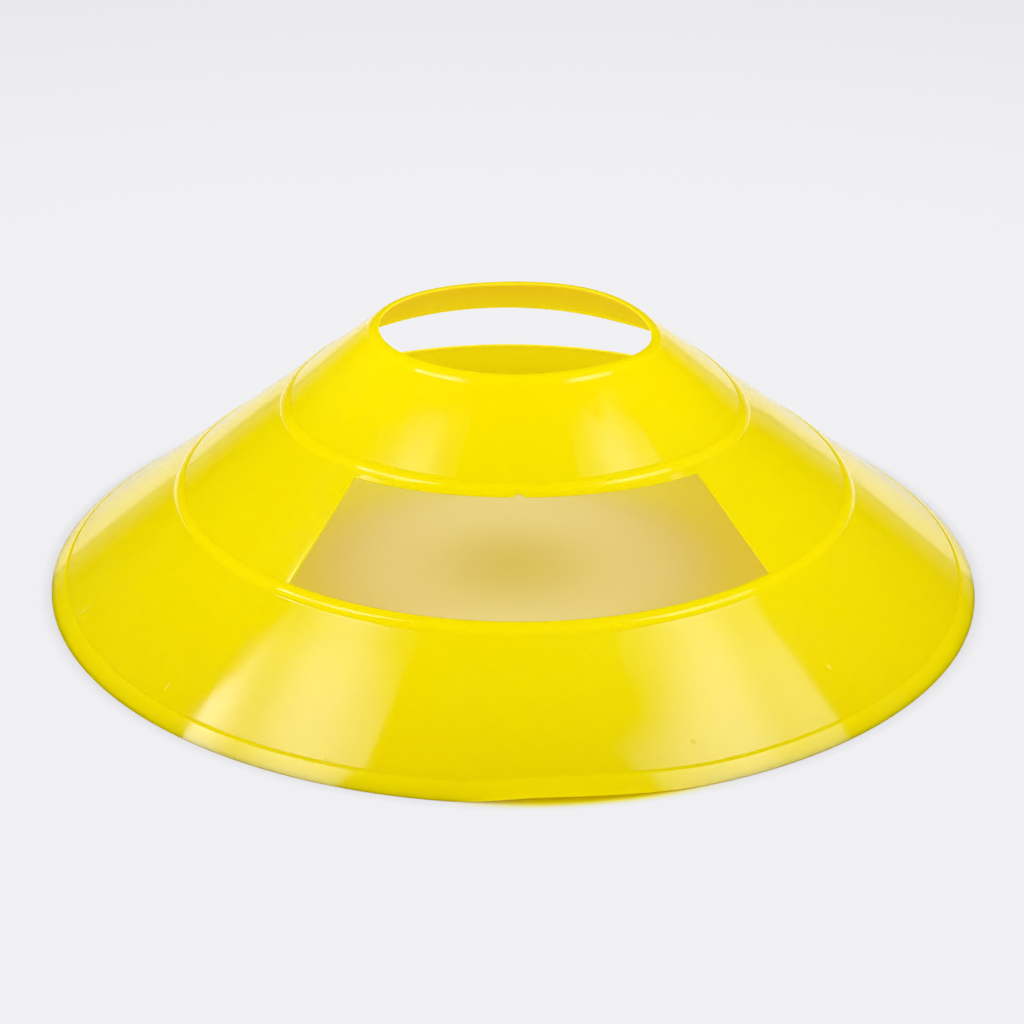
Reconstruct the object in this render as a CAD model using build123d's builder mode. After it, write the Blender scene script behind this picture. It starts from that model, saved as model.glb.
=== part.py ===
"""Sports marker cone: one thin yellow moulding with two beads, two windows, a base rim and a rounded lip."""
import os

from build123d import *

# Overall sizes of the cone, in millimetres.
BASE_DIAMETER = 190.0
HEIGHT = 53.0
HOLE_DIAMETER = 54.4

# The skin is measured straight down, so the true wall is thinner by the cosine of the slope.
SKIN_DROP = 1.0

# Outer surface where the two beads sit, as radius and height.
LOWER_BEAD_RADIUS = 67.8
LOWER_BEAD_HEIGHT = 20.6
UPPER_BEAD_RADIUS = 46.1
UPPER_BEAD_HEIGHT = 38.8

# Rounded beads along the two creases between the bands.
BEAD_WIDTH = 2.8
BEAD_PROUD = 0.8

# Base rim: a proud band with a low upright edge.
RIM_EDGE = 0.6
RIM_WIDTH = 3.1
RIM_RISE = 1.9
RIM_STEP = 0.2
RIM_STEP_RUN = 0.3
RIM_BEVEL = 0.25

# Lip: the skin ends in an upright collar round the hole, with a full-round top.
LIP_THICKNESS = 1.3

# Sides of the many-sided section that stands for a small round, on the beads and the lip.
ROUND_SIDES = 16

# Windows in the middle band, front and back.
WINDOW_ANGLE = 86.0
WINDOW_COUNT = 2
WINDOW_GAP_UNDER_UPPER_BEAD = 0.3
WINDOW_GAP_OVER_LOWER_BEAD = 0.1
WINDOW_CORNER = 0.4
WINDOW_REACH = 6.0

# Sizes that follow from the ones above.
base_radius = BASE_DIAMETER / 2
hole_radius = HOLE_DIAMETER / 2
lip_radius = hole_radius + LIP_THICKNESS
lip_round = LIP_THICKNESS / 2
lower_bead = Vector(LOWER_BEAD_RADIUS, LOWER_BEAD_HEIGHT)
upper_bead = Vector(UPPER_BEAD_RADIUS, UPPER_BEAD_HEIGHT)
rim_edge_top = Vector(base_radius, RIM_EDGE)
rim_shoulder = rim_edge_top + Vector(-RIM_WIDTH, RIM_RISE)
rim_foot = rim_shoulder + Vector(-RIM_STEP_RUN, -RIM_STEP)
lip_meet = Vector(lip_radius, HEIGHT - lip_round)
drop = Vector(0, -SKIN_DROP)

# Directions up the three bands, and the way out of each bead's crest.
lower_run = (lower_bead - rim_foot).normalized()
middle_run = (upper_bead - lower_bead).normalized()
upper_run = (lip_meet - upper_bead).normalized()
lower_out = (lower_run + middle_run).normalized().rotate(Axis.Z, -90)
upper_out = (middle_run + upper_run).normalized().rotate(Axis.Z, -90)
middle_out = middle_run.rotate(Axis.Z, -90)

# Where the lower band's underside comes down to the floor.
inner_foot_radius = rim_foot.X + (rim_foot.Y - SKIN_DROP) * lower_run.X / -lower_run.Y

# A bead's arc, from its width and height over the skin.
bead_half_width = BEAD_WIDTH / 2
bead_round = (bead_half_width**2 + BEAD_PROUD**2) / (2 * BEAD_PROUD)
bead_sink = bead_round - BEAD_PROUD

# Block that cuts one window: it spans the middle band between the beads, square to the skin.
with BuildPart() as window_cutter:
    low_edge = lower_bead + middle_run * (bead_half_width + WINDOW_GAP_OVER_LOWER_BEAD)
    high_edge = upper_bead - middle_run * (bead_half_width + WINDOW_GAP_UNDER_UPPER_BEAD)
    reach = middle_out * WINDOW_REACH
    with BuildSketch(Plane.XZ):
        with BuildLine():
            Polyline(low_edge - reach, low_edge + reach, high_edge + reach, high_edge - reach, close=True)
        make_face()
    revolve(axis=Axis.Z, revolution_arc=WINDOW_ANGLE)
    through_edges = window_cutter.edges().filter_by(GeomType.LINE).group_by(SortBy.LENGTH)[0]
    fillet(through_edges, WINDOW_CORNER)

with BuildPart() as cone_shell:
    # Solid cone with the rim step, before it is hollowed.
    with BuildSketch(Plane.XZ):
        with BuildLine():
            Polyline(
                (0, 0),
                (base_radius, 0),
                rim_edge_top,
                rim_shoulder,
                rim_foot,
                lower_bead,
                upper_bead,
                lip_meet,
                (0, lip_meet.Y),
                close=True,
            )
        make_face()
    revolve(axis=Axis.Z)

    # Break the sharp corners of the rim's upright edge and its shoulder.
    rings = cone_shell.edges().filter_by(GeomType.CIRCLE).group_by(Axis.Z)
    _, edge_ring, _, shoulder_ring, *_ = rings
    chamfer(edge_ring + shoulder_ring, RIM_BEVEL)

    # The two beads.
    with BuildSketch(Plane.XZ):
        for crease, out in ((lower_bead, lower_out), (upper_bead, upper_out)):
            centre = crease - out * bead_sink
            with Locations((centre.X, centre.Y)):
                RegularPolygon(bead_round, ROUND_SIDES)
    revolve(axis=Axis.Z)

    # Hollow underside, following the bands from below and open through the top.
    with BuildSketch(Plane.XZ):
        with BuildLine():
            Polyline(
                (0, 0),
                (inner_foot_radius, 0),
                lower_bead + drop,
                upper_bead + drop,
                lip_meet + drop,
                (hole_radius, lip_meet.Y - SKIN_DROP),
                (hole_radius, lip_meet.Y),
                (0, lip_meet.Y),
                close=True,
            )
        make_face()
    revolve(axis=Axis.Z, mode=Mode.SUBTRACT)

    # Full-round top of the lip.
    with BuildSketch(Plane.XZ):
        with Locations((hole_radius + lip_round, lip_meet.Y)):
            RegularPolygon(lip_round, ROUND_SIDES)
    revolve(axis=Axis.Z)

    # Two windows through the middle band.
    with PolarLocations(0, WINDOW_COUNT, start_angle=-90 - WINDOW_ANGLE / 2):
        add(window_cutter.part, mode=Mode.SUBTRACT)

os.makedirs("parts", exist_ok=True)
cone_shell.part.label = "cone_shell"
export_step(cone_shell.part, "parts/cone_shell.step")
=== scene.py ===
"""Looks of a sports marker cone: one thin, glossy yellow moulding on a pale studio floor."""
import logging
import math
from dataclasses import dataclass
from enum import Enum
from itertools import pairwise
from typing import Any

import bmesh
import bpy
from mathutils import Matrix, Vector

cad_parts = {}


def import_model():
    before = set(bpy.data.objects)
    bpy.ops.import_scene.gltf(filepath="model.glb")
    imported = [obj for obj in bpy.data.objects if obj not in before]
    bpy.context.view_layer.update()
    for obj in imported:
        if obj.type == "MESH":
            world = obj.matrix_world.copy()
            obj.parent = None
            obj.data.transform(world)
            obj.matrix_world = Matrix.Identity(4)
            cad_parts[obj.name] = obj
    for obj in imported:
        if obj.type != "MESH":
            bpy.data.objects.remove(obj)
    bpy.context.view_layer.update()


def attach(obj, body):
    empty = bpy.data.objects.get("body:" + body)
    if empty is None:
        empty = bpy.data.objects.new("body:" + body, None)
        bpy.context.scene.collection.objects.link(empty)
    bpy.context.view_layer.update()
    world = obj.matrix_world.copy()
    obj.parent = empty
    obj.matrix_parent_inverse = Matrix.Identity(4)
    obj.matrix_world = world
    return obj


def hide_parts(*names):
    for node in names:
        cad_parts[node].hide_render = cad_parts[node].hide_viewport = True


LOG = logging.getLogger("marker_cone")

# Sizes of the cone are written in millimetres, and the frame is in metres.
MM = 0.001

# Short names for types that repeat: a colour with its alpha, a pair of numbers and a node's socket.
Colour = tuple[float, float, float, float]
Pair = tuple[float, float]
Socket = bpy.types.NodeSocket


class Side(Enum):
    """The two sides that carry a window, as the angle of their middle about the axis, in degrees."""

    FRONT = -90.0
    BACK = 90.0


class MarkKind(Enum):
    """What a mark in the skin is: pale and raised, or pressed in."""

    SCUFF = "scuff"
    DENT = "dent"


class SkinMask(Enum):
    """Names of the masks on the skin's vertices: the windows' rounded edges and the wall's inside."""

    CUT_EDGE = "cut_edge"
    INSIDE = "inside"


def clamped(value: float) -> float:
    """Returns the value, held between 0 and 1."""
    return min(max(value, 0.0), 1.0)


def smooth_step(value: float) -> float:
    """Returns an eased share from 0 to 1."""
    share = clamped(value)
    return share * share * (3.0 - 2.0 * share)


def blend(first: float, second: float, share: float) -> float:
    """Returns a mix of two numbers, all the second where share is 1."""
    return first * (1.0 - share) + second * share


def hump(turn: float, left: float, right: float) -> float:
    """Gives a smooth hump over an angle.

    Args:
        turn: Angle from the hump's top, in degrees.
        left: Where the hump ends on the negative side, in degrees from its top.
        right: Where it ends on the positive side.

    Returns:
        A share that is 1 at the top and 0 beyond the ends.
    """
    reach = left if turn < 0.0 else right
    return smooth_step(1.0 - abs(turn) / reach)


def turn_between(angle: float, middle: float) -> float:
    """Returns the signed angle from middle to angle, in degrees, from -180 to 180."""
    return (angle - middle + 180.0) % 360.0 - 180.0


def finished_mesh(mesh: bmesh.types.BMesh, name: str) -> bpy.types.Mesh:
    """Turns a bmesh into a mesh and frees it.

    Args:
        mesh: The modelled shape.
        name: Name of the new mesh.

    Returns:
        The new mesh.
    """
    data = bpy.data.meshes.new(name)
    mesh.to_mesh(data)
    mesh.free()
    return data


def put_in_scene(data: bpy.types.ID, name: str) -> bpy.types.Object:
    """Makes an object and links it to the scene.

    Args:
        data: The object's mesh or camera.
        name: Name of the new object.

    Returns:
        The new object.
    """
    piece = bpy.data.objects.new(name, data)
    bpy.context.scene.collection.objects.link(piece)
    return piece


class NodeBench:
    """Adds nodes to one node tree and joins them."""

    def __init__(self, owner: bpy.types.Material | bpy.types.World) -> None:
        """Starts with an empty tree on a material or a world.

        Args:
            owner: What the nodes belong to.
        """
        owner.use_nodes = True
        self.tree = owner.node_tree
        self.tree.nodes.clear()

    def add(self, kind: str, inputs: dict[Any, Any] | None = None, **settings: Any) -> bpy.types.Node:
        """Adds one node.

        Args:
            kind: Blender's name for the kind of node.
            inputs: Values or sockets for the node's inputs, by name or number.
            **settings: The node's own options.

        Returns:
            The new node.
        """
        node = self.tree.nodes.new(kind)
        for name, value in settings.items():
            setattr(node, name, value)
        for name, value in (inputs or {}).items():
            if isinstance(value, Socket):
                self.tree.links.new(value, node.inputs[name])
            else:
                node.inputs[name].default_value = value
        return node

    def place(self) -> Socket:
        """Returns the Object coordinates."""
        return self.add("ShaderNodeTexCoord").outputs["Object"]

    def mask(self, mask: SkinMask) -> Socket:
        """Returns one of the masks on the skin's vertices."""
        return self.add("ShaderNodeAttribute", attribute_name=mask.value).outputs["Fac"]

    def math(self, operation: str, *values: Any) -> Socket:
        """Returns the result of one sum on numbers or sockets."""
        return self.add("ShaderNodeMath", dict(enumerate(values)), operation=operation).outputs[0]

    def without(self, share: Any) -> Socket:
        """Returns what is left of 1 without that share."""
        return self.math("SUBTRACT", 1.0, share)

    def distance(self, place: Socket, middle: Any) -> Socket:
        """Returns the distance of a place from a fixed point."""
        return self.add("ShaderNodeVectorMath", {0: place, 1: middle}, operation="DISTANCE").outputs["Value"]

    def noise(self, vector: Socket, scale: float, detail: float) -> Socket:
        """Returns a soft noise from 0 to 1 at that scale."""
        inputs = {"Vector": vector, "Scale": scale, "Detail": detail}
        return self.add("ShaderNodeTexNoise", inputs).outputs[0]

    def spread(self, value: Any, low: float, high: float, to_low: float, to_high: float) -> Socket:
        """Maps a range of numbers smoothly onto another.

        Args:
            value: The number's socket.
            low: Start of the range.
            high: End of the range.
            to_low: Result at the start and before it.
            to_high: Result at the end and after it.

        Returns:
            The mapped number's socket.
        """
        inputs = {"Value": value, "From Min": low, "From Max": high, "To Min": to_low, "To Max": to_high}
        return self.add("ShaderNodeMapRange", inputs, interpolation_type="SMOOTHSTEP").outputs[0]

    def mix(self, share: Any, first: Any, second: Any) -> Socket:
        """Returns a mix of two colours, all the second where share is 1."""
        return self.add("ShaderNodeMix", {0: share, 6: first, 7: second}, data_type="RGBA").outputs[2]


@dataclass(frozen=True)
class Mark:
    """One small mark of use, placed by its angle from the front, in degrees, and its radius and height."""

    turn: float
    radius: float
    height: float
    length: float
    width: float
    slant: float = 0.0
    kind: MarkKind = MarkKind.SCUFF

    def angle(self) -> float:
        """Returns the mark's angle about the axis, in radians."""
        return math.radians(Side.FRONT.value + self.turn)

    def middle(self) -> Vector:
        """Returns the mark's middle, in metres."""
        across = Vector((math.cos(self.angle()), math.sin(self.angle()), 0.0)) * self.radius
        return (across + Vector((0.0, 0.0, self.height))) * MM

    def lie(self, slope_angle: float) -> Matrix:
        """Returns the rotation that lays the mark on the skin, for the skin's slope in degrees."""
        upright = Matrix.Rotation(self.angle(), 3, "Z") @ Matrix.Rotation(math.radians(slope_angle), 3, "Y")
        return upright @ Matrix.Rotation(math.radians(self.slant), 3, "Z")


@dataclass(frozen=True)
class Wear:
    """Masks of the marks of use: each is a socket that is 1 on a mark."""

    scuffs: Any
    dents: Any
    hairlines: Any


@dataclass(frozen=True)
class YellowPlastic:
    """Glossy yellow polyethylene, slightly translucent, with faint mould waves, light marks of use, and
    painted shade on the inside and on the windows' cut edges.
    """

    name: str = "yellow_plastic"

    # Colours of the skin, of the painted shade on the inside and on the windows' edges, and of worn places.
    shade: Colour = (0.985, 0.642, 0.0, 1.0)
    bright: Colour = (1.0, 0.665, 0.0, 1.0)
    inside_painted_shade: Colour = (0.925, 0.600, 0.0, 1.0)
    # Painted shade on the windows' rounded cut edges, slightly darker than the skin.
    cut: Colour = (0.940, 0.645, 0.0, 1.0)
    scuffed: Colour = (0.980, 0.800, 0.100, 1.0)
    cloud_scale: float = 26.0
    cloud_range: Pair = (0.3, 0.7)

    # Light inside the plastic.
    refraction: float = 1.51
    translucency: float = 0.85
    scatter_by_colour: tuple[float, float, float] = (1.0, 1.0, 0.1)
    scatter_depth: float = 5.0

    # Roughness: clear gloss, its haze, and what wear and the inside add to it.
    gloss: float = 0.045
    haze: float = 0.10
    smudge_scale: float = 48.0
    fine_smudge_scale: float = 210.0
    smudge_range: Pair = (0.12, 0.42)
    scuff_haze: float = 0.25
    hairline_haze: float = 0.06
    inside_haze: float = 0.75

    # Relief, with heights in millimetres.
    wave_scale: float = 42.0
    wave_height: float = 0.06
    flow_scale: float = 30.0
    flow_height: float = 0.006
    flow_stretch: float = 0.5
    mark_height: float = 0.06
    hairline_depth: float = 0.06

    # Hairline scratches: their patches, their tilt, and the direction and fineness of each set of lines.
    patch_scale: float = 55.0
    patch_range: Pair = (0.54, 0.66)
    hairline_tilt: Pair = (0.3, 0.2)
    hairline_sets: tuple[Pair, ...] = ((35.0, 900.0), (-62.0, 1100.0))
    hairline_stretch: tuple[float, float, float] = (0.03, 1.0, 1.0)
    hairline_width: float = 0.012
    hairline_tint: float = 0.10

    # Separate marks, which lie at the slope of the skin.
    slope_angle: float = 37.6
    marks: tuple[Mark, ...] = (
        Mark(turn=-74.7, radius=89.6, height=3.85, length=2.0, width=0.22),
        Mark(turn=-50.5, radius=88.8, height=4.45, length=1.2, width=0.25),
        Mark(turn=-0.1, radius=86.85, height=5.95, length=0.9, width=0.45),
        Mark(turn=-25.5, radius=91.3, height=2.5, length=0.8, width=0.35),
        Mark(turn=41.0, radius=83.55, height=8.5, length=1.2, width=0.9, slant=20.0, kind=MarkKind.DENT),
        Mark(turn=57.6, radius=28.9, height=52.1, length=0.35, width=0.35),
        Mark(turn=-23.2, radius=69.44, height=19.35, length=0.5, width=0.4),
        Mark(turn=18.1, radius=87.97, height=5.1, length=0.6, width=0.4, slant=40.0),
    )

    def material(self) -> bpy.types.Material:
        """Builds the material.

        Returns:
            The finished material.
        """
        material = bpy.data.materials.new(self.name)
        bench = NodeBench(material)
        place = bench.place()
        wear = self._wear(bench, place)
        inputs = {
            "Base Color": self._colour(bench, place, wear),
            "Roughness": self._roughness(bench, place, wear),
            "Normal": self._relief(bench, place, wear),
            "IOR": self.refraction,
            "Subsurface Weight": self.translucency,
            "Subsurface Radius": self.scatter_by_colour,
            "Subsurface Scale": self.scatter_depth * MM,
        }
        shader = bench.add("ShaderNodeBsdfPrincipled", inputs)
        bench.add("ShaderNodeOutputMaterial", {"Surface": shader.outputs[0]})
        return material

    def _wear(self, bench: NodeBench, place: Socket) -> Wear:
        """Draws the marks of use.

        Args:
            bench: Where the nodes go.
            place: Object coordinates.

        Returns:
            The masks of the scuffs, the dents and the hairline scratches.
        """
        masks: dict[MarkKind, Any] = {MarkKind.SCUFF: 0.0, MarkKind.DENT: 0.0}
        for mark in self.marks:
            inputs = {
                "Vector": place,
                "Location": mark.middle(),
                "Rotation": mark.lie(self.slope_angle).to_euler(),
                "Scale": Vector((mark.length, mark.width, 1.0)) * MM,
            }
            local = bench.add("ShaderNodeMapping", inputs, vector_type="TEXTURE").outputs[0]
            spot = bench.add("ShaderNodeTexGradient", {"Vector": local}, gradient_type="SPHERICAL")
            masks[mark.kind] = bench.math("MAXIMUM", masks[mark.kind], spot.outputs["Fac"])
        return Wear(masks[MarkKind.SCUFF], masks[MarkKind.DENT], self._hairlines(bench, place))

    def _hairlines(self, bench: NodeBench, place: Socket) -> Socket:
        """Draws broken hairline scratches.

        Args:
            bench: Where the nodes go.
            place: Object coordinates.

        Returns:
            A mask that is 1 on a scratch.
        """
        patches = bench.spread(bench.noise(place, self.patch_scale, 1.0), *self.patch_range, 0.0, 1.0)
        lines: Any = 0.0
        for turn, scale in self.hairline_sets:
            rotation = (*self.hairline_tilt, math.radians(turn))
            turned = bench.add("ShaderNodeMapping", {"Vector": place, "Rotation": rotation}).outputs[0]
            inputs = {0: turned, 1: self.hairline_stretch}
            stretched = bench.add("ShaderNodeVectorMath", inputs, operation="MULTIPLY").outputs[0]
            thread = bench.noise(stretched, scale, 0.0)
            offset = bench.math("ABSOLUTE", bench.math("SUBTRACT", thread, 0.5))
            line = bench.spread(offset, 0.0, self.hairline_width, 1.0, 0.0)
            lines = bench.math("MAXIMUM", lines, line)
        return bench.math("MULTIPLY", lines, patches)

    def _colour(self, bench: NodeBench, place: Socket, wear: Wear) -> Socket:
        """Mixes the yellow, with painted shade on the inside and on the windows' cut edges.

        Args:
            bench: Where the nodes go.
            place: Object coordinates.
            wear: Masks of the marks of use.

        Returns:
            The colour's socket.
        """
        cloud = bench.spread(bench.noise(place, self.cloud_scale, 3.0), *self.cloud_range, 0.0, 1.0)
        yellow = bench.mix(cloud, self.shade, self.bright)
        # Painted shade: the inside of the wall is mixed towards a darker yellow.
        yellow = bench.mix(bench.mask(SkinMask.INSIDE), yellow, self.inside_painted_shade)
        # Painted shade: the windows' rounded cut edges are mixed towards a slightly darker yellow.
        yellow = bench.mix(bench.mask(SkinMask.CUT_EDGE), yellow, self.cut)
        worn = bench.math("MAXIMUM", wear.scuffs, bench.math("MULTIPLY", wear.hairlines, self.hairline_tint))
        return bench.mix(worn, yellow, self.scuffed)

    def _roughness(self, bench: NodeBench, place: Socket, wear: Wear) -> Socket:
        """Spreads faint haze and smudges over the gloss, and dulls the inside.

        Args:
            bench: Where the nodes go.
            place: Object coordinates.
            wear: Masks of the marks of use.

        Returns:
            The roughness socket.
        """
        broad = bench.noise(place, self.smudge_scale, 4.0)
        fine = bench.noise(place, self.fine_smudge_scale, 2.0)
        smudge = bench.math("MULTIPLY", broad, fine)
        rough = bench.spread(smudge, *self.smudge_range, self.gloss, self.haze)
        rough = bench.math("MULTIPLY_ADD", wear.scuffs, self.scuff_haze, rough)
        rough = bench.math("MULTIPLY_ADD", wear.hairlines, self.hairline_haze, rough)
        return bench.math("MULTIPLY_ADD", bench.mask(SkinMask.INSIDE), self.inside_haze, rough)

    def _relief(self, bench: NodeBench, place: Socket, wear: Wear) -> Socket:
        """Gives the skin its mould waves, flow lines and marks.

        Args:
            bench: Where the nodes go.
            place: Object coordinates.
            wear: Masks of the marks of use.

        Returns:
            The normal's socket.
        """
        x, y, _ = bench.add("ShaderNodeSeparateXYZ", {0: place}).outputs
        angle = bench.math("ARCTAN2", y, x)
        squares = bench.math("ADD", bench.math("POWER", x, 2.0), bench.math("POWER", y, 2.0))
        radius = bench.math("SQRT", squares)
        stretched = {0: bench.math("MULTIPLY", angle, self.flow_stretch), 1: radius}
        polar = bench.add("ShaderNodeCombineXYZ", stretched).outputs[0]
        waves = bench.noise(place, self.wave_scale, 1.0)
        flow = bench.noise(polar, self.flow_scale, 2.0)
        pressed = bench.math("SUBTRACT", wear.scuffs, wear.dents)
        worn = bench.math("SUBTRACT", pressed, bench.math("MULTIPLY", wear.hairlines, self.hairline_depth))
        height = bench.math("MULTIPLY", waves, self.wave_height)
        height = bench.math("MULTIPLY_ADD", flow, self.flow_height, height)
        height = bench.math("MULTIPLY_ADD", worn, self.mark_height, height)
        return bench.add("ShaderNodeBump", {"Strength": 1.0, "Distance": MM, "Height": height}).outputs[0]


@dataclass(frozen=True)
class Corner:
    """One corner of the wall's section, in millimetres, and how far its rounding reaches along its sides."""

    place: Vector
    rounding: float = 0.0
    steps: int = 3


@dataclass(frozen=True)
class SettledRing:
    """How one ring of the soft moulding has settled, in millimetres.

    It rises at the front, right, back and left, in that order, and spreads outwards at the right and left.
    """

    radius: float
    rises: tuple[float, float, float, float] = (0.0, 0.0, 0.0, 0.0)
    spreads: Pair = (0.0, 0.0)

    def rise(self, turn: float) -> float:
        """Works out the rise, eased between the four sides.

        Args:
            turn: Angle from the front, in degrees.

        Returns:
            The rise there.
        """
        across = math.sin(math.radians(turn))
        along = math.cos(math.radians(turn))
        front, right, back, left = self.rises
        lengthways = (front if along > 0.0 else back) * along**2
        sideways = (right if across > 0.0 else left) * across**4
        return lengthways + sideways

    def spread(self, turn: float) -> float:
        """Works out the outward shift, which is largest at the sides.

        Args:
            turn: Angle from the front, in degrees.

        Returns:
            The shift there.
        """
        across = math.sin(math.radians(turn))
        right, left = self.spreads
        return (right if across > 0.0 else left) * across**4


@dataclass
class ConeShell:
    """The whole cone as one wall: three bands, two beads, a base rim, a rounded lip and two windows."""

    name: str = "cone_skin"

    # Overall sizes, and the skin measured straight down.
    base_radius: float = 94.85
    height: float = 54.0
    hole_radius: float = 26.8
    skin_drop: float = 0.65

    # Beads on the two creases between the bands.
    lower_crease: Pair = (67.8, 20.75)
    upper_crease: Pair = (46.1, 38.8)
    bead_half_width: float = 1.4
    bead_peak: float = 0.5
    bead_round: float = 1.35
    bead_steps: int = 9
    bead_foot_round: float = 0.35
    bead_foot_at_window: float = 0.05

    # Base rim, as radius and height where it is a place.
    rim_edge: float = 0.1
    rim_edge_round: float = 0.04
    rim_shoulder_at: Pair = (91.95, 2.415)
    rim_foot_at: Pair = (91.5, 2.527)
    rim_round: float = 0.2
    inner_foot_round: float = 0.12
    inner_crease_round: float = 0.5

    # Lip round the hole.
    lip_width: float = 1.1
    lip_edge: float = 0.5
    lip_round: float = 0.85
    lip_steps: int = 8
    lip_bead_foot: float = 1.9
    lip_bead_top: float = 0.6
    lip_proud: float = 0.15
    hole_edge_round: float = 0.2
    hole_edge_steps: int = 4

    # Windows, with angles in degrees.
    window_half_angle: float = 43.0
    window_gap_low: float = 0.1
    window_gap_high: float = 0.2
    window_edge_round: float = 0.1
    window_edge_steps: int = 3
    window_reach: float = 2.0
    sharp_angle: float = 60.0

    # Fineness of the mesh, and how far a normal leans towards the axis where the skin counts as inside.
    steps_round: int = 360
    longest_edge: float = 3.2
    inside_lean: float = 0.3

    # How the used cone has settled, ring by ring.
    rings: tuple[SettledRing, ...] = (
        SettledRing(radius=27.0, rises=(0.1, -2.2, -1.85, -0.35), spreads=(0.4, 0.4)),
        SettledRing(radius=46.1, rises=(0.0, -2.2, 1.45, -1.2), spreads=(0.4, 0.2)),
        SettledRing(radius=67.8, rises=(0.0, -0.4, 0.65, -0.3), spreads=(0.5, 0.2)),
        SettledRing(radius=91.6),
        SettledRing(radius=96.0),
    )

    # Where the front rim stands off the floor.
    rim_lift: float = 1.25
    rim_lift_ends: Pair = (11.0, 22.0)
    rim_lift_from: float = 74.0
    rim_lift_run: float = 16.0

    # Droop of the windows' top edges towards their corners, and how far those edges are tucked inwards.
    droop: float = 2.3
    droop_lean: float = 0.28
    droop_past_edge: float = 0.11
    droop_fade: float = 0.03
    edge_zone: float = 1.0
    tuck_share: float = 0.32
    tuck_fade_from: float = 28.0
    tuck_fade: float = 15.0

    # Small nick in the front window's top edge.
    nick_turn: float = -2.7
    nick_height: float = 0.9
    nick_ends: Pair = (1.2, 1.6)
    nick_fade: float = 3.5

    finish: YellowPlastic = YellowPlastic()

    def __post_init__(self) -> None:
        """Works out the directions of the three bands and the windows' two edges."""
        self.low = Vector(self.lower_crease)
        self.high = Vector(self.upper_crease)
        self.rim_foot = Vector(self.rim_foot_at)
        self.lip_top = Vector((self.hole_radius + self.lip_width, self.height))
        self.lower_run = (self.low - self.rim_foot).normalized()
        self.middle_run = (self.high - self.low).normalized()
        self.upper_run = (self.lip_top - self.high).normalized()
        self.middle_out = Vector((self.middle_run.y, -self.middle_run.x))
        self.drop = Vector((0.0, -self.skin_drop))
        self.window_low = self.low + self.middle_run * (self.bead_half_width + self.window_gap_low)
        self.window_high = self.high - self.middle_run * (self.bead_half_width + self.window_gap_high)
        self.window_length = (self.window_high - self.window_low).length

    def build(self) -> bpy.types.Object:
        """Models the shell and puts it in the scene.

        Returns:
            The shell's object, riding on the root body in place of its CAD node.
        """
        mesh = bmesh.new()
        for mask in SkinMask:
            mesh.verts.layers.float.new(mask.value)
        self._spin_wall(mesh)
        for side in Side:
            self._cut_window(mesh, side)
        self._round_window_edges(mesh)
        self._settle(mesh)
        data = finished_mesh(mesh, self.name)
        data.shade_smooth()
        piece = put_in_scene(data, self.name)
        self._dress(piece)
        return piece

    def _dress(self, piece: bpy.types.Object) -> None:
        """Gives the shell even shading, its finish and its place in the frame.

        Args:
            piece: The shell's object.
        """
        even = piece.modifiers.new("even_normals", "WEIGHTED_NORMAL")
        even.weight = 100
        piece.data.materials.append(self.finish.material())
        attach(piece, "root")
        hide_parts("cone_shell")

    def _bead(self, crease: Vector, below: Vector, above: Vector, feet: Pair) -> list[Corner]:
        """Gives the corners of one bead.

        Args:
            crease: Where the two bands would meet.
            below: Direction up the band below.
            above: Direction up the band above.
            feet: Roundings of the lower and the upper foot.

        Returns:
            The lower foot, the peak and the upper foot.
        """
        along = (below + above).normalized()
        out = Vector((along.y, -along.x))
        return [
            Corner(crease - below * self.bead_half_width, feet[0]),
            Corner(crease + out * self.bead_peak, self.bead_round, self.bead_steps),
            Corner(crease + above * self.bead_half_width, feet[1]),
        ]

    def _outside_corners(self) -> list[Corner]:
        """Lists the corners from the base's inner foot, out along the base and up the outside to the lip.

        Returns:
            The corners in order.
        """
        upper_out = Vector((self.upper_run.y, -self.upper_run.x))
        lip_foot = self.lip_top - self.upper_run * self.lip_bead_foot
        lip_crest = self.lip_top - self.upper_run * self.lip_bead_top + upper_out * self.lip_proud
        inner_foot = self.rim_foot + self.drop
        inner_foot += self.lower_run * (inner_foot.y / -self.lower_run.y)
        low_feet = (self.bead_foot_round, self.bead_foot_at_window)
        high_feet = (self.bead_foot_at_window, self.bead_foot_round)
        return [
            Corner(inner_foot, self.inner_foot_round),
            Corner(Vector((self.base_radius, 0.0)), self.rim_edge_round),
            Corner(Vector((self.base_radius, self.rim_edge)), self.rim_edge_round),
            Corner(Vector(self.rim_shoulder_at), self.rim_round),
            Corner(self.rim_foot, self.rim_round),
            *self._bead(self.low, self.lower_run, self.middle_run, low_feet),
            Corner(self.window_low),
            Corner(self.window_high),
            *self._bead(self.high, self.middle_run, self.upper_run, high_feet),
            Corner(lip_foot, self.bead_foot_round),
            Corner(lip_crest, self.lip_round, self.lip_steps),
        ]

    def _inside_corners(self) -> list[Corner]:
        """Lists the corners from the hole's top edge down the inside of the skin.

        Returns:
            The corners in order.
        """
        # The run up the band has a negative x, so this offset points in through the skin.
        through_skin = self.middle_out * (self.skin_drop * self.middle_run.x)
        hole_top = Vector((self.hole_radius, self.height))
        hole_foot = Vector((self.hole_radius, self.height - self.lip_edge))
        return [
            Corner(hole_top, self.hole_edge_round, self.hole_edge_steps),
            Corner(hole_foot, self.hole_edge_round),
            Corner(self.high + self.drop, self.inner_crease_round),
            Corner(self.window_high + through_skin),
            Corner(self.window_low + through_skin),
            Corner(self.low + self.drop, self.inner_crease_round),
        ]

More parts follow.
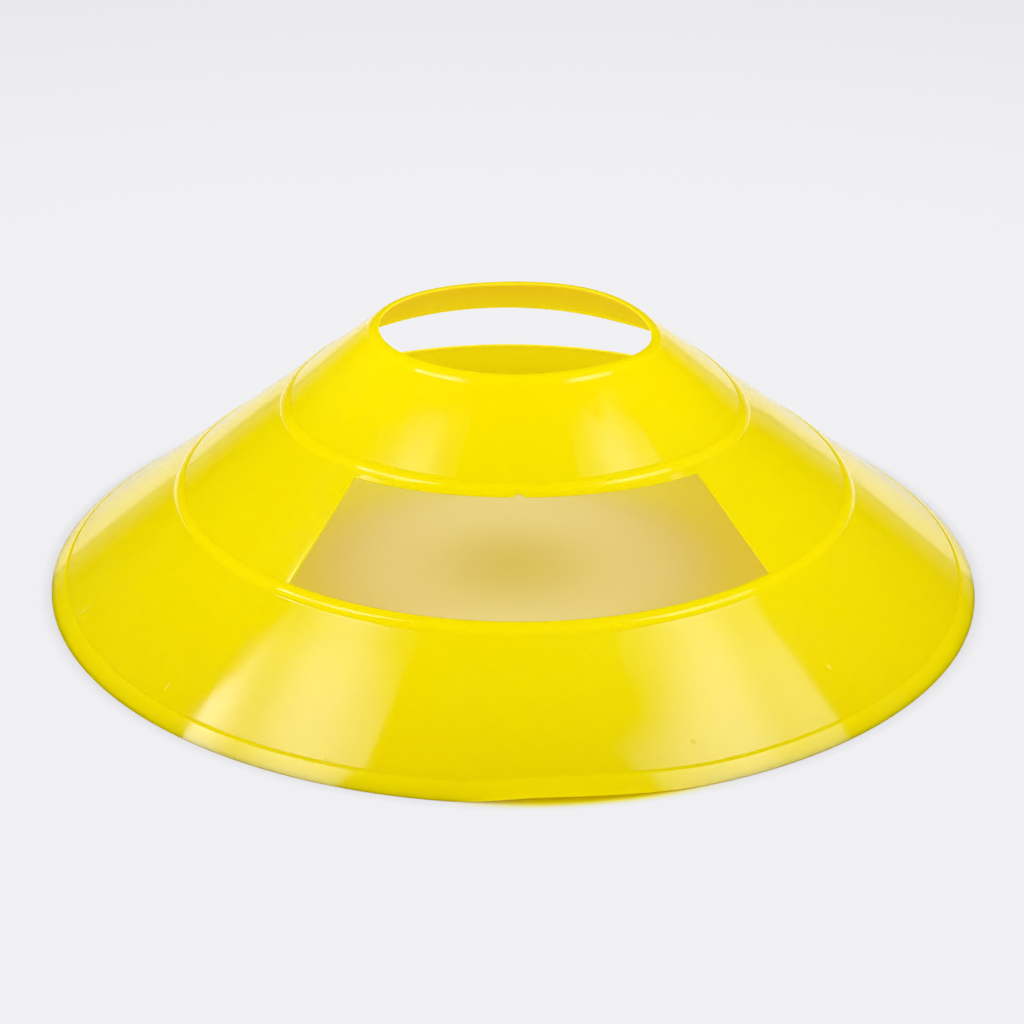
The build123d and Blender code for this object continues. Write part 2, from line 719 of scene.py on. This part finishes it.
    def _spin_wall(self, mesh: bmesh.types.BMesh) -> None:
        """Draws the wall's section, rounds its corners and turns it about the axis.

        Args:
            mesh: The empty mesh that takes the wall.
        """
        corners = self._outside_corners() + self._inside_corners()
        verts = [mesh.verts.new((corner.place.x * MM, 0.0, corner.place.y * MM)) for corner in corners]
        mesh.faces.new(verts)
        for corner, vert in zip(corners, verts):
            if corner.rounding:
                bmesh.ops.bevel(
                    mesh,
                    geom=[vert],
                    offset=corner.rounding * MM,
                    offset_type="OFFSET",
                    segments=corner.steps,
                    profile=0.5,
                    affect="VERTICES",
                    clamp_overlap=False,
                    material=-1,
                )
        bmesh.ops.delete(mesh, geom=mesh.faces[:], context="FACES_ONLY")
        for edge in mesh.edges[:]:
            cuts = int(edge.calc_length() / (self.longest_edge * MM))
            if cuts:
                bmesh.ops.subdivide_edges(mesh, edges=[edge], cuts=cuts)
        bmesh.ops.spin(
            mesh,
            geom=mesh.verts[:] + mesh.edges[:],
            cent=(0.0, 0.0, 0.0),
            axis=(0.0, 0.0, 1.0),
            dvec=(0.0, 0.0, 0.0),
            angle=math.tau,
            steps=self.steps_round,
            use_merge=True,
            use_duplicate=False,
        )
        bmesh.ops.recalc_face_normals(mesh, faces=mesh.faces)

    def _on_band(self, point: Vector) -> tuple[float, float, float]:
        """Places a point on the middle band.

        Args:
            point: A point of the shell, in metres.

        Returns:
            Its angle about the axis in degrees, how far up the band it is from the windows' lower edge, and
            how far it stands out of the skin, both in millimetres.
        """
        offset = Vector((math.hypot(point.x, point.y), point.z)) / MM - self.window_low
        angle = math.degrees(math.atan2(point.y, point.x))
        return angle, offset.dot(self.middle_run), offset.dot(self.middle_out)

    def _cut_window(self, mesh: bmesh.types.BMesh, side: Side) -> None:
        """Opens one window through both skins and walls its edge.

        Args:
            mesh: The shell's mesh.
            side: Which window.
        """
        gone = []
        for face in mesh.faces:
            angle, along, out = self._on_band(face.calc_center_median())
            across = abs(turn_between(angle, side.value)) <= self.window_half_angle
            if across and 0.0 < along < self.window_length and abs(out) < self.window_reach:
                gone.append(face)
        bmesh.ops.delete(mesh, geom=gone, context="FACES")
        bmesh.ops.bridge_loops(mesh, edges=[edge for edge in mesh.edges if edge.is_boundary])

    def _round_window_edges(self, mesh: bmesh.types.BMesh) -> None:
        """Rounds the windows' sharp edges, and marks them as cut edges for the finish's painted shade.

        Args:
            mesh: The shell's mesh.
        """
        limit = math.radians(self.sharp_angle)
        made = bmesh.ops.bevel(
            mesh,
            geom=[edge for edge in mesh.edges if edge.calc_face_angle(0.0) > limit],
            offset=self.window_edge_round * MM,
            offset_type="OFFSET",
            segments=self.window_edge_steps,
            profile=0.5,
            affect="EDGES",
            clamp_overlap=False,
            material=-1,
        )
        cut_edge = mesh.verts.layers.float[SkinMask.CUT_EDGE.value]
        for face in made["faces"]:
            for vert in face.verts:
                vert[cut_edge] = 1.0

    def _settle(self, mesh: bmesh.types.BMesh) -> None:
        """Marks the inside for the finish's haze and painted shade, and bends the shell the way the used
        cone has settled.

        Args:
            mesh: The shell's mesh.
        """
        bmesh.ops.recalc_face_normals(mesh, faces=mesh.faces)
        mesh.normal_update()
        inside = mesh.verts.layers.float[SkinMask.INSIDE.value]
        for vert in mesh.verts:
            outwards = Vector((vert.co.x, vert.co.y, 0.0)).normalized()
            vert[inside] = float(vert.normal.dot(outwards) < -self.inside_lean)
            vert.co = self._settled(vert.co)

    def _settled(self, point: Vector) -> Vector:
        """Bends one point the way the soft moulding has settled.

        Args:
            point: The point in the ideal shape, in metres.

        Returns:
            The point on the used cone.
        """
        angle, along, _ = self._on_band(point)
        turn = turn_between(angle, Side.FRONT.value)
        rise, spread = self._ring_shift(math.hypot(point.x, point.y) / MM, turn)
        climb, tuck = self._window_shift(angle, along)
        shift = self.middle_run * climb - self.middle_out * tuck
        outwards = Vector((point.x, point.y, 0.0)).normalized()
        moved = point + outwards * (spread + shift.x) * MM
        moved.z += (rise + shift.y) * MM
        return moved

    def _ring_shift(self, radius: float, turn: float) -> tuple[float, float]:
        """Works out how the rings and the lifted rim move a point.

        Args:
            radius: The point's distance from the axis, in millimetres.
            turn: Its angle from the front, in degrees.

        Returns:
            Its rise and its outward shift, in millimetres.
        """
        inner, outer = next(pair for pair in pairwise(self.rings) if radius < pair[1].radius)
        share = clamped((radius - inner.radius) / (outer.radius - inner.radius))
        rise = blend(inner.rise(turn), outer.rise(turn), share)
        spread = blend(inner.spread(turn), outer.spread(turn), share)
        towards_rim = smooth_step((radius - self.rim_lift_from) / self.rim_lift_run)
        rise += self.rim_lift * hump(turn, *self.rim_lift_ends) * towards_rim
        return rise, spread

    def _window_shift(self, angle: float, along: float) -> tuple[float, float]:
        """Works out how the windows' drooping top edges and the nick move a point.

        Args:
            angle: The point's angle about the axis, in degrees.
            along: How far up the middle band it is from the windows' lower edge, in millimetres.

        Returns:
            How far it climbs the band and how far it is tucked inwards, in millimetres.
        """
        turn = turn_between(angle, Side.FRONT.value)
        past_edge = along - self.window_length
        across = math.sin(math.radians(turn))
        droop = (self.droop * across**2 + self.droop_lean * across) * clamped(along / self.window_length)
        droop *= 1.0 - smooth_step((past_edge - self.droop_past_edge) / self.droop_fade)
        if past_edge <= -self.edge_zone:
            return -droop, 0.0
        beside = min(abs(turn_between(angle, side.value)) for side in Side)
        tuck = self.tuck_share * droop * (1.0 - smooth_step((beside - self.tuck_fade_from) / self.tuck_fade))
        nick = self.nick_height * hump(turn - self.nick_turn, *self.nick_ends)
        nick *= 1.0 - smooth_step(past_edge / self.nick_fade)
        return nick - droop, tuck


@dataclass(frozen=True)
class PaleFloor:
    """Pale, even studio floor, with painted light, painted shade and a painted glow under the cone standing
    in for the light that comes through the plastic, with distances in metres.
    """

    name: str = "pale_floor"

    # The floor as the camera sees it away from the cone, with its level near the cone and far from it.
    colour: Colour = (0.863, 0.863, 0.880, 1.0)
    level_range: Pair = (0.20, 0.55)
    levels: Pair = (1.015, 0.935)
    evenness: float = 0.965

    # The floor as it is lit, with what the camera and the cone's gloss see of it held back.
    ground: Colour = (0.950, 0.950, 0.960, 1.0)
    dark: Colour = (0.0, 0.0, 0.0, 1.0)
    held_back: float = 0.32
    mirrored_range: Pair = (0.15, 1.10)
    mirrored_held_back: Pair = (0.32, 0.80)
    cone_radius: float = 0.094
    edge_blend: float = 0.004

    # Painted light and shade under the cone: a painted shaded middle, a lighter painted ring, painted light
    # towards the wall and a pale painted patch at the front.
    # Painted shade: the floor's yellowish middle under the cone.
    under: Colour = (0.790, 0.765, 0.310, 1.0)
    painted_light_ring: Colour = (0.910, 0.925, 0.570, 1.0)
    ring_rise: Pair = (0.001, 0.026)
    ring_fall: Pair = (0.025, 0.047)
    painted_light_by_wall: Colour = (0.900, 0.920, 0.165, 1.0)
    edge_range: Pair = (0.027, 0.053)
    painted_light_front: Colour = (0.920, 0.900, 0.800, 1.0)
    front_middle: tuple[float, float, float] = (0.0, -0.054, 0.0)
    front_reach: float = 0.028
    front_share: float = 0.8
    # Painted glow: the floor under the cone gives off yellow light, standing in for light through the
    # plastic.
    glow: Colour = (1.0, 0.82, 0.0, 1.0)
    painted_glow_strength: float = 0.13

    # The painted golden shade in the gap under the lifted rim, standing in for its shadow.
    gap_painted_shade: Colour = (0.68, 0.63, 0.0, 1.0)
    gap_middle: tuple[float, float, float] = (0.008, -0.094, 0.0)
    gap_range: Pair = (0.008, 0.030)
    gap_edge: Pair = (0.0943, 0.0972)

    def material(self) -> bpy.types.Material:
        """Builds the material: a matt floor, evenly bright to the camera away from the cone, with painted
        light, shade and glow under it.

        Returns:
            The finished material.
        """
        material = bpy.data.materials.new(self.name)
        bench = NodeBench(material)
        place = bench.place()
        distance = bench.distance(place, (0.0, 0.0, 0.0))
        path = bench.add("ShaderNodeLightPath").outputs
        gap = bench.spread(bench.distance(place, self.gap_middle), *self.gap_range, 1.0, 0.0)
        gap = bench.math("MULTIPLY", gap, bench.spread(distance, *self.gap_edge, 1.0, 0.0))
        outside = bench.spread(distance, self.cone_radius - self.edge_blend, self.cone_radius, 0.0, 1.0)
        outside = bench.math("MULTIPLY", outside, bench.without(gap))
        # Painted light and shade under the cone, and the even floor outside it.
        colour = bench.mix(outside, self._painted_floor_under_cone(bench, place, distance), self.ground)
        # Painted shade in the gap under the lifted rim.
        colour = bench.mix(gap, colour, self.gap_painted_shade)
        seen = bench.math("MULTIPLY", outside, path["Is Camera Ray"])
        mirrored = bench.spread(distance, *self.mirrored_range, *self.mirrored_held_back)
        dimmed = bench.math("MULTIPLY", mirrored, path["Is Glossy Ray"])
        dimmed = bench.math("MULTIPLY_ADD", seen, self.held_back, dimmed)
        matt = bench.add("ShaderNodeBsdfDiffuse", {"Color": bench.mix(dimmed, colour, self.dark)})
        # Painted glow: emission on the floor under the cone.
        painted_warmth = bench.math("MULTIPLY", bench.without(outside), self.painted_glow_strength)
        warm = bench.add("ShaderNodeEmission", {"Color": self.glow, "Strength": painted_warmth})
        lit = bench.add("ShaderNodeAddShader", {0: matt.outputs[0], 1: warm.outputs[0]})
        even_from = self.cone_radius + self.edge_blend
        away = bench.spread(distance, self.cone_radius, even_from, 0.0, self.evenness)
        away = bench.math("MULTIPLY", away, bench.without(gap))
        level = bench.spread(distance, *self.level_range, *self.levels)
        even = bench.add("ShaderNodeEmission", {"Color": self.colour, "Strength": level})
        share = bench.math("MULTIPLY", away, path["Is Camera Ray"])
        both = bench.add("ShaderNodeMixShader", {0: share, 1: lit.outputs[0], 2: even.outputs[0]})
        bench.add("ShaderNodeOutputMaterial", {"Surface": both.outputs[0]})
        return material

    def _painted_floor_under_cone(self, bench: NodeBench, place: Socket, distance: Socket) -> Socket:
        """Mixes the painted light and shade on the floor under the cone.

        Args:
            bench: Where the nodes go.
            place: Object coordinates.
            distance: Distance from the cone's axis.

        Returns:
            The colour's socket.
        """
        rise = bench.spread(distance, *self.ring_rise, 0.0, 1.0)
        ring = bench.math("MULTIPLY", rise, bench.spread(distance, *self.ring_fall, 1.0, 0.0))
        colour = bench.mix(bench.spread(distance, *self.edge_range, 0.0, 1.0), self.under, self.painted_light_by_wall)
        colour = bench.mix(ring, colour, self.painted_light_ring)
        from_front = bench.distance(place, self.front_middle)
        front = bench.spread(from_front, 0.0, self.front_reach, self.front_share, 0.0)
        return bench.mix(front, colour, self.painted_light_front)


@dataclass(frozen=True)
class Hotspot:
    """A brighter part of a lamp: its middle and reach as slopes from the floor's middle, and its light."""

    middle: Pair
    reach: float
    light: float


@dataclass(frozen=True)
class Softbox:
    """One flat lamp overhead.

    Its corners and its rear edge are slopes from the floor's middle. Its light is stronger at its hotspots
    and fades to a small share at the rear edge.
    """

    name: str
    corners: tuple[Pair, ...]
    light: float
    hotspots: tuple[Hotspot, ...]
    rear_edge: tuple[Pair, Pair]
    fade: float
    edge_light: float
    height: float = 1.9
    tint: Colour = (0.60, 0.66, 1.0, 1.0)

    def build(self, turn: float) -> bpy.types.Object:
        """Hangs the lamp.

        Args:
            turn: Angle about the axis from the corners' frame to the scene's, in degrees.

        Returns:
            The lamp's object.
        """
        mesh = bmesh.new()
        around = Matrix.Rotation(math.radians(turn), 3, "Z")
        for corner in self.corners:
            mesh.verts.new(around @ Vector((*corner, 1.0)) * self.height)
        bmesh.ops.contextual_create(mesh, geom=mesh.verts[:])
        data = finished_mesh(mesh, self.name)
        data.materials.append(self._material(around))
        lamp = put_in_scene(data, self.name)
        lamp.visible_camera = False
        return lamp

    def _material(self, around: Matrix) -> bpy.types.Material:
        """Builds the lamp's light.

        Args:
            around: Rotation from the corners' frame to the scene's.

        Returns:
            The finished material.
        """
        material = bpy.data.materials.new(self.name)
        bench = NodeBench(material)
        place = bench.place()
        level: Any = self.light
        for spot in self.hotspots:
            offset = bench.distance(place, around @ Vector((*spot.middle, 1.0)) * self.height)
            extra = bench.spread(offset, 0.0, spot.reach * self.height, spot.light, 0.0)
            level = bench.math("ADD", level, extra)
        depth = self._depth(bench, place, around)
        faded = bench.spread(depth, 0.0, self.fade * self.height, self.edge_light, 1.0)
        inputs = {"Color": self.tint, "Strength": bench.math("MULTIPLY", level, faded)}
        glow = bench.add("ShaderNodeEmission", inputs)
        bench.add("ShaderNodeOutputMaterial", {"Surface": glow.outputs[0]})
        return material

    def _depth(self, bench: NodeBench, place: Socket, around: Matrix) -> Socket:
        """Measures how far in from the lamp's rear edge a place is.

        Args:
            bench: Where the nodes go.
            place: Object coordinates.
            around: Rotation from the corners' frame to the scene's.

        Returns:
            The distance's socket.
        """
        start, end = (around @ Vector((*corner, 0.0)) for corner in self.rear_edge)
        which_side = math.copysign(1.0, self.rear_edge[1][0])
        inwards = (end - start).normalized().cross(Vector((0.0, 0.0, which_side)))
        from_start = {0: place, 1: start * self.height}
        offset = bench.add("ShaderNodeVectorMath", from_start, operation="SUBTRACT").outputs[0]
        depth = bench.add("ShaderNodeVectorMath", {0: offset, 1: inwards}, operation="DOT_PRODUCT")
        return depth.outputs["Value"]


@dataclass
class Studio:
    """Floor, lamps, surrounding light and camera."""

    # The camera: where its eye is, in millimetres and degrees, which way it looks, and its lens.
    eye_distance: float = 573.6
    eye_elevation: float = 24.85
    eye_target: float = 19.0
    eye_turn: float = -3.8
    pitch: float = 25.47
    yaw: float = 0.04
    roll: float = 0.41
    lens: float = 98.44
    sensor: float = 36.0

    # The floor, with its side in metres.
    floor_side: float = 6.0
    floor_cells: int = 8
    floor: PaleFloor = PaleFloor()

    # Light from all round, more from the sides, and the white walls that the gloss mirrors near the horizon.
    fill: float = 1.61
    side_lift: float = 1.1
    side_balance: float = 0.28
    white: float = 0.863
    wall_light: float = 0.45
    wall_foot: float = -0.05
    horizon: float = 0.14

    lamps: tuple[Softbox, ...] = (
        Softbox(
            name="left_softbox",
            corners=(
                (-0.285, -0.205),
                (-0.43, -0.155),
                (-0.52, -0.106),
                (-0.80, 0.1045),
                (-1.012, 0.2055),
                (-1.155, 0.126),
                (-1.30, -0.02),
                (-0.80, -0.373),
            ),
            light=1.2,
            hotspots=(
                Hotspot(middle=(-0.63, -0.14), reach=0.36, light=3.4),
                Hotspot(middle=(-1.01, 0.15), reach=0.25, light=5.8),
            ),
            rear_edge=((-0.43, -0.155), (-0.80, 0.1045)),
            fade=0.06,
            edge_light=0.12,
        ),
        Softbox(
            name="right_softbox",
            corners=(
                (0.3515, -0.1998),
                (0.62, -0.028),
                (0.905, 0.245),
                (1.08, 0.245),
                (1.35, 0.0),
                (0.80, -0.3745),
            ),
            light=1.4,
            hotspots=(
                Hotspot(middle=(0.69, -0.10), reach=0.30, light=3.2),
                Hotspot(middle=(0.97, 0.14), reach=0.25, light=1.2),
            ),
            rear_edge=((0.3515, -0.1998), (0.905, 0.245)),
            fade=0.10,
            edge_light=0.24,
        ),
    )

    def build(self) -> None:
        """Sets up everything round the cone, and logs each piece."""
        floor = self._lay_floor()
        LOG.info("%s: %.1f m wide", floor.name, self.floor_side)
        for softbox in self.lamps:
            lamp = softbox.build(self.eye_turn)
            LOG.info("%s: %d corners", lamp.name, len(lamp.data.vertices))
        self._surround()
        camera = self._place_camera()
        LOG.info("%s: %.1f mm lens", camera.name, self.lens)
        bpy.context.scene.view_settings.view_transform = "Standard"

    def _lay_floor(self) -> bpy.types.Object:
        """Lays the floor.

        Returns:
            The floor's object.
        """
        mesh = bmesh.new()
        cells = self.floor_cells
        bmesh.ops.create_grid(mesh, x_segments=cells, y_segments=cells, size=self.floor_side / 2.0)
        data = finished_mesh(mesh, "floor")
        data.materials.append(self.floor.material())
        floor = put_in_scene(data, "floor")
        return floor

    def _surround(self) -> None:
        """Lights the cone from all round. Its gloss mirrors only the walls, and the camera sees white."""
        world = bpy.data.worlds.new("studio")
        bpy.context.scene.world = world
        bench = NodeBench(world)
        path = bench.add("ShaderNodeLightPath").outputs
        way = bench.add("ShaderNodeTexCoord").outputs["Generated"]
        x, _, height = bench.add("ShaderNodeSeparateXYZ", {0: way}).outputs
        lifted = self.fill * self.side_lift
        sides = bench.math("MULTIPLY", x, x)
        fill = bench.math("MULTIPLY_ADD", sides, lifted, self.fill - self.side_balance * lifted)
        walls = bench.spread(height, self.wall_foot, self.horizon, self.wall_light, 0.0)
        level = bench.math("MULTIPLY_ADD", path["Is Glossy Ray"], bench.math("SUBTRACT", walls, fill), fill)
        plain = bench.math("SUBTRACT", self.white, level)
        strength = bench.math("MULTIPLY_ADD", path["Is Camera Ray"], plain, level)
        glow = bench.add("ShaderNodeBackground", {"Strength": strength})
        bench.add("ShaderNodeOutputWorld", {"Surface": glow.outputs[0]})

    def _place_camera(self) -> bpy.types.Object:
        """Puts the camera where the photograph was taken from.

        Returns:
            The camera's object.
        """
        data = bpy.data.cameras.new("camera")
        data.lens = self.lens
        data.sensor_width = self.sensor
        camera = put_in_scene(data, "camera")
        elevation = math.radians(self.eye_elevation)
        back = self.eye_distance * math.cos(elevation)
        up = self.eye_distance * math.sin(elevation) + self.eye_target
        turn = Matrix.Rotation(math.radians(self.eye_turn), 4, "Z")
        aim = Matrix.Rotation(math.radians(self.yaw), 4, "Z")
        aim = aim @ Matrix.Rotation(math.radians(90.0 - self.pitch), 4, "X")
        aim = aim @ Matrix.Rotation(math.radians(self.roll), 4, "Z")
        camera.matrix_world = turn @ Matrix.Translation(Vector((0.0, -back, up)) * MM) @ aim
        bpy.context.scene.camera = camera
        return camera


def main() -> None:
    """Loads the frame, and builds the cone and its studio."""
    logging.basicConfig(level=logging.INFO, format="%(name)s: %(message)s")
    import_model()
    shell = ConeShell().build()
    LOG.info("%s: %d faces", shell.name, len(shell.data.polygons))
    Studio().build()


if __name__ == "__main__":
    main()
